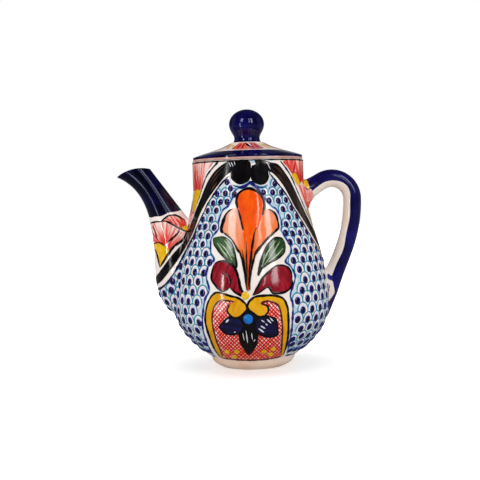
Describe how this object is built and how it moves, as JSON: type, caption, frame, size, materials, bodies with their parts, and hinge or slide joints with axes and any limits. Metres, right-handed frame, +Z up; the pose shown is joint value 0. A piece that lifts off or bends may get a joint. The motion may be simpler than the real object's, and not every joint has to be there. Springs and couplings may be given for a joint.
{
  "type": "coffee pitcher",
  "caption": "Pear-shaped glazed ceramic coffee pot with a curved pouring spout, an ear handle and a loose domed lid with a ball knob, painted with a folk pattern of flowers and raised dots.",
  "frame": {"origin": "middle of the foot, on the plane that it stands on", "axes": "+Z up, the spout points along -X, the handle along +X, and the painted front faces -Y"},
  "size_m": [0.2014, 0.128, 0.2118],
  "materials": {
    "white_glaze": "gloss tin glaze over earthenware",
    "cobalt_glaze": "gloss cobalt glaze over earthenware"
  },
  "bodies": {
    "pot": {"body_shell": "white_glaze", "foot_ring": "white_glaze", "spout": "cobalt_glaze", "handle": "cobalt_glaze", "slip_dots": "cobalt_glaze"},
    "lid": {"lid_cover": "white_glaze", "lid_flange": "white_glaze", "lid_knob": "cobalt_glaze"}
  },
  "joints": [
    {"name": "lid_lift", "type": "slide", "parent": "pot", "child": "lid", "axis": [0, 0, 1], "range_m": [0, 0.08]}
  ]
}
